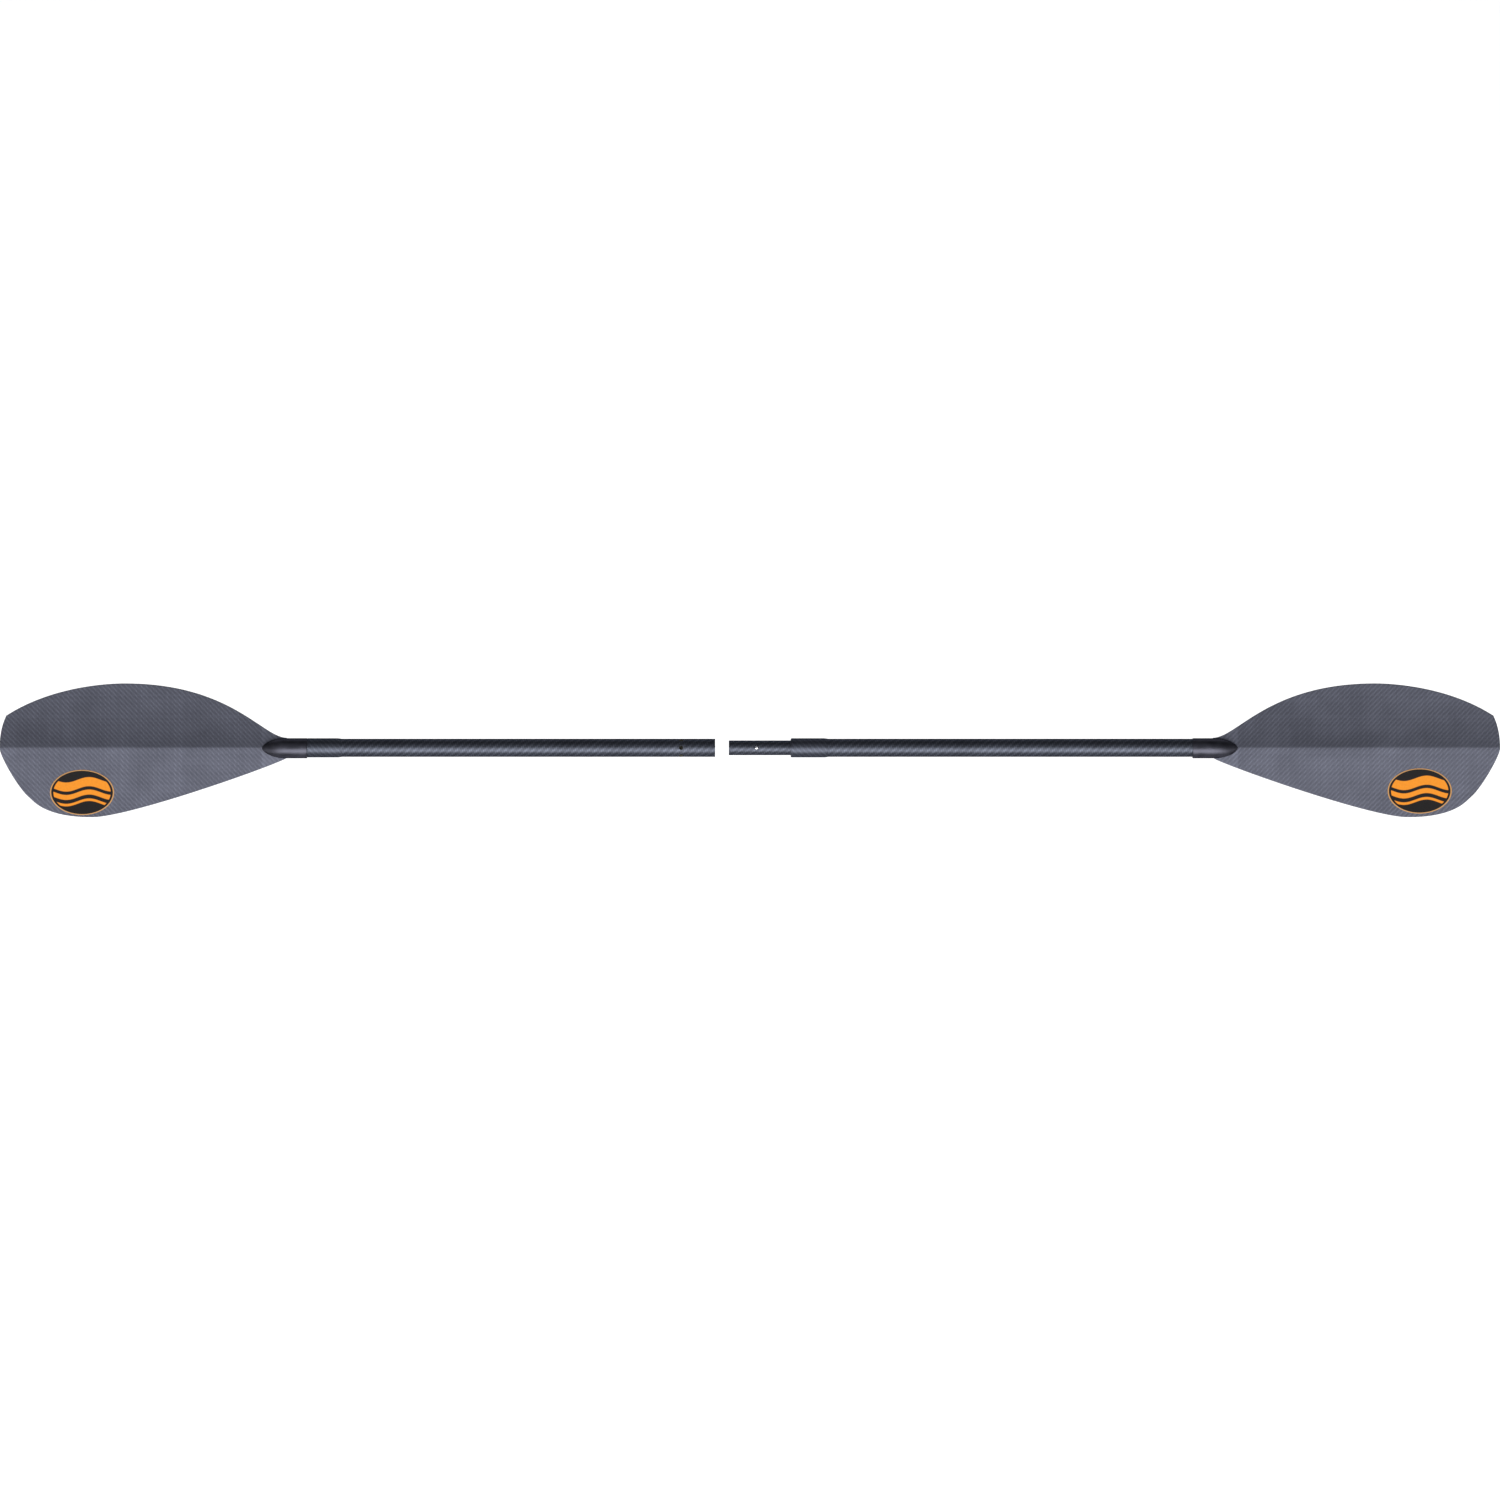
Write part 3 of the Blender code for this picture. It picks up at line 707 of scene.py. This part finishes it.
def build_blade(half, plan, rim_distance):
    side = SIDES[half]
    body = half + "_half"
    blade = blade_mesh(half + "_blade", side, plan, rim_distance)
    skins = (half + "_blade_face_skin", half + "_blade_back_skin")
    make_piece(half + "_blade", blade, body, MATERIALS[half + "_blade"], skins)
    neck = neck_mesh(half + "_neck", side)
    make_piece(half + "_neck", neck, body, MATERIALS["neck"], [half + "_blade_neck"])
    u, v = DECALS[half]
    vinyl = decal_vinyl(half + "_decal_vinyl", side * (TIP_X - u), AXIS_Y + v)
    badge = decal_mesh(half + "_decal", side, DECALS[half])
    make_piece(half + "_decal", badge, body, vinyl, [half + "_blade_decal"])


# ---- The shaft and its ferrule ----


def build_left_shaft():
    holes = [drill(LOCK_X, angle) for angle in FEATHER_ANGLES]
    profile = tube_profile(TUBE_LOW[0], MOUTH_X, SHAFT_R - SHAFT_WALL, SHAFT_R, 0.0005)
    shaft = cut(turned_mesh("left_shaft", profile), holes)
    make_piece("left_shaft", shaft, "left_half", MATERIALS["shaft"], ["left_shaft_tube"])
    holes = [drill(LOCK_X, angle) for angle in FEATHER_ANGLES]
    profile = tube_profile(LINER_LOW[0], LINER_HIGH[0], SOCKET_R, SHAFT_R - SHAFT_WALL, 0.0003)
    liner = cut(turned_mesh("left_socket", profile), holes)
    make_piece("left_socket", liner, "left_half", MATERIALS["liner"], ["socket_liner"])
    low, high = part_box("left_neck_wrap")
    wrap = turned_mesh("left_wrap", wrap_profile(low[0], high[0], LEFT_WRAP_FRONT))
    make_piece("left_wrap", wrap, "left_half", MATERIALS["wrap"], ["left_neck_wrap"])


def build_right_shaft():
    profile = tube_profile(SHOULDER_X, RIGHT_TUBE_HIGH[0], SHAFT_R - SHAFT_WALL, SHAFT_R, 0.0003)
    shaft = turned_mesh("right_shaft", profile)
    make_piece("right_shaft", shaft, "right_half", MATERIALS["shaft"], ["right_shaft_tube"])
    low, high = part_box("shoulder_wrap")
    wrap = turned_mesh("shoulder_wrap_shown", wrap_profile(low[0], high[0], SHOULDER_WRAP_FRONT))
    look = MATERIALS["wrap"]
    make_piece("shoulder_wrap_shown", wrap, "right_half", look, ["shoulder_wrap"])
    bore = SPIGOT_R - SPIGOT_WALL
    inside = SHAFT_R - SHAFT_WALL - GAP
    start, end = SPIGOT_LOW[0], SPIGOT_HIGH[0]
    outline = [(start, bore), (start, SPIGOT_R), (SHOULDER_X, SPIGOT_R), (SHOULDER_X + 0.002, inside)]
    outline += [(end, inside), (end, bore)]
    spigot = cut(turned_mesh("right_spigot", eased(outline, 0.0008)), [drill(BUTTON_X, 0)])
    make_piece("right_spigot", spigot, "right_half", MATERIALS["shaft"], ["spigot"])


def build_plug():
    radius = (PLUG_HIGH[2] - PLUG_LOW[2]) / 2
    start, end = PLUG_LOW[0], PLUG_HIGH[0]
    dish = 0.0012
    outline = [(start + dish, 0), (start + dish, radius * 0.62), (start, radius * 0.72), (start, radius)]
    outline += [(end, radius), (end, 0)]
    rounded = eased(outline, 0.0006)
    off_axis = [p for p in rounded if p.x >= start and p.y > 1e-7]
    profile = [(start + dish, 0), *off_axis, (end, 0)]
    plug = turned_mesh("rubber_plug", profile)
    make_piece("rubber_plug", plug, "spigot_end", MATERIALS["rubber"], ["spigot_plug"])


def build_button():
    """The button has a domed top, and a flange that stops it in the spigot's hole."""
    dome, dome_steps, flange = 0.0016, 12, 0.0014
    foot = AXIS_Z + SPRING_LEG + 0.0004
    flange_top = AXIS_Z + SPRING_LEG + flange
    flange_r = BUTTON_R + 0.0006
    profile = [(foot, 0), (foot, flange_r), (flange_top, flange_r), (flange_top + 0.0003, BUTTON_R)]
    for k in range(dome_steps + 1):
        angle = math.pi / 2 * k / dome_steps
        profile.append((BUTTON_TOP - dome + dome * math.sin(angle), BUTTON_R * math.cos(angle)))
    profile = np.array(profile)
    angles = np.linspace(0, 2 * math.pi, BUTTON_STEPS, endpoint=False)
    x = BUTTON_X + np.outer(profile[:, 1], np.cos(angles))
    y = AXIS_Y + np.outer(profile[:, 1], np.sin(angles))
    z = np.repeat(profile[:, :1], BUTTON_STEPS, axis=1)
    dome_mesh = grid_mesh("snap_dome", np.stack([x, y, z], axis=-1), wrap_columns=True)
    make_piece("snap_dome", dome_mesh, "button", MATERIALS["steel"], ["snap_button"])


def build_spring():
    """A hairpin of flat strip whose upper leg carries the button, and whose lower leg stays put."""
    half_width, strip, leg = 0.004, 0.0006, SPRING_LEG
    bend_x, bend_steps = 0.026, 24
    path = [(-0.007, leg), (-0.005, leg), (0, leg), (0.010, leg), (0.020, leg)]
    for k in range(bend_steps + 1):
        angle = math.pi / 2 - math.pi * k / bend_steps
        path.append((bend_x + leg * math.cos(angle), leg * math.sin(angle)))
    path += [(0.020, -leg), (0.010, -leg), (-0.004, -leg)]
    path = np.array(path)
    tangent = np.gradient(path, axis=0)
    tangent /= np.linalg.norm(tangent, axis=1)[:, None]
    normal = np.stack([-tangent[:, 1], tangent[:, 0]], axis=-1)
    sides = []
    for across, out in ((-1, 1), (1, 1), (1, -1), (-1, -1)):
        edge = path + normal * out * strip / 2
        y = np.full(len(path), AXIS_Y + across * half_width)
        sides.append(np.stack([BUTTON_X + edge[:, 0], y, AXIS_Z + edge[:, 1]], axis=-1))
    spring = grid_mesh("snap_spring", cap_ends(np.stack(sides, axis=1)), wrap_columns=True)
    piece = make_piece("snap_spring", spring, "right_half", MATERIALS["steel"])
    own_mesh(piece)


def cap_ends(points):
    """Closes a tube of rings by shrinking a copy of each end ring to its middle."""
    first = np.repeat(points[:1].mean(axis=1, keepdims=True), points.shape[1], axis=1)
    last = np.repeat(points[-1:].mean(axis=1, keepdims=True), points.shape[1], axis=1)
    return np.concatenate([first, points, last])


def paint_hidden_nodes():
    """The foam pieces keep their CAD shape and get a foam look."""
    for half in SIDES:
        for node in ("_shaft_bulkhead", "_shaft_end_plug", "_blade_core"):
            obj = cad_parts[half + node]
            obj.material_slots[0].material = MATERIALS["foam"]


# ---- Floor, light and camera ----


def build_stage():
    """The floor lies well below the paddle, so a turned blade clears it and shadows are faint."""
    bpy.ops.mesh.primitive_plane_add(size=FLOOR_SIZE, location=(0, 0, CAD_BOX[0][2] - FLOOR_DROP))
    floor = bpy.context.object
    floor.name = "floor"
    floor.data.materials.append(floor_paint())


def build_softbox():
    """One large softbox on the side of the blades' wider edges."""
    light = bpy.data.lights.new("main_softbox", "AREA")
    light.shape = "RECTANGLE"
    light.size, light.size_y = SOFTBOX_SIZE
    light.energy = SOFTBOX_POWER
    lamp = bpy.data.objects.new("main_softbox", light)
    bpy.context.scene.collection.objects.link(lamp)
    place = Vector((0, -math.sin(SOFTBOX_LEAN), math.cos(SOFTBOX_LEAN))) * SOFTBOX_DISTANCE
    lamp.location = place
    lamp.rotation_euler = place.to_track_quat("Z", "Y").to_euler()


def build_sky():
    """A dim sky that fades towards the horizon. The camera sees a plain pale one in its place."""
    world = bpy.data.worlds.new("studio")
    world.use_nodes = True
    nodes, links = world.node_tree.nodes, world.node_tree.links
    split = nodes.new("ShaderNodeSeparateXYZ")
    links.new(nodes.new("ShaderNodeTexCoord").outputs["Generated"], split.inputs[0])
    sky = nodes.new("ShaderNodeValToRGB")
    sky.color_ramp.elements[0].color = SKY_LOW
    sky.color_ramp.elements[0].position = SKY_START
    sky.color_ramp.elements[1].color = SKY_HIGH
    links.new(split.outputs["Z"], sky.inputs["Fac"])
    seen = nodes.new("ShaderNodeMix")
    seen.data_type = "RGBA"
    links.new(nodes.new("ShaderNodeLightPath").outputs["Is Camera Ray"], seen.inputs[0])
    links.new(sky.outputs["Color"], seen.inputs[6])
    seen.inputs[7].default_value = SKY_BEHIND
    links.new(seen.outputs[2], nodes["Background"].inputs["Color"])
    bpy.context.scene.world = world


def build_camera():
    """Straight above the paddle, far off with a long lens."""
    camera = bpy.data.cameras.new("camera")
    camera.lens = LENS
    camera.sensor_width = SENSOR
    camera.clip_end = 100
    view = bpy.data.objects.new("camera", camera)
    bpy.context.scene.collection.objects.link(view)
    height = VIEW_WIDTH * LENS / SENSOR
    view.location = (VIEW_MIDDLE[0], AXIS_Y + VIEW_MIDDLE[1], AXIS_Z + height)
    bpy.context.scene.camera = view
    bpy.context.scene.view_settings.view_transform = "Standard"


plan = blade_plan()
rim_distance = distance_to_outline(plan[0], plan[1])
for half in SIDES:
    build_blade(half, plan, rim_distance)
build_left_shaft()
build_right_shaft()
build_plug()
build_button()
build_spring()
paint_hidden_nodes()
build_stage()
build_softbox()
build_sky()
build_camera()
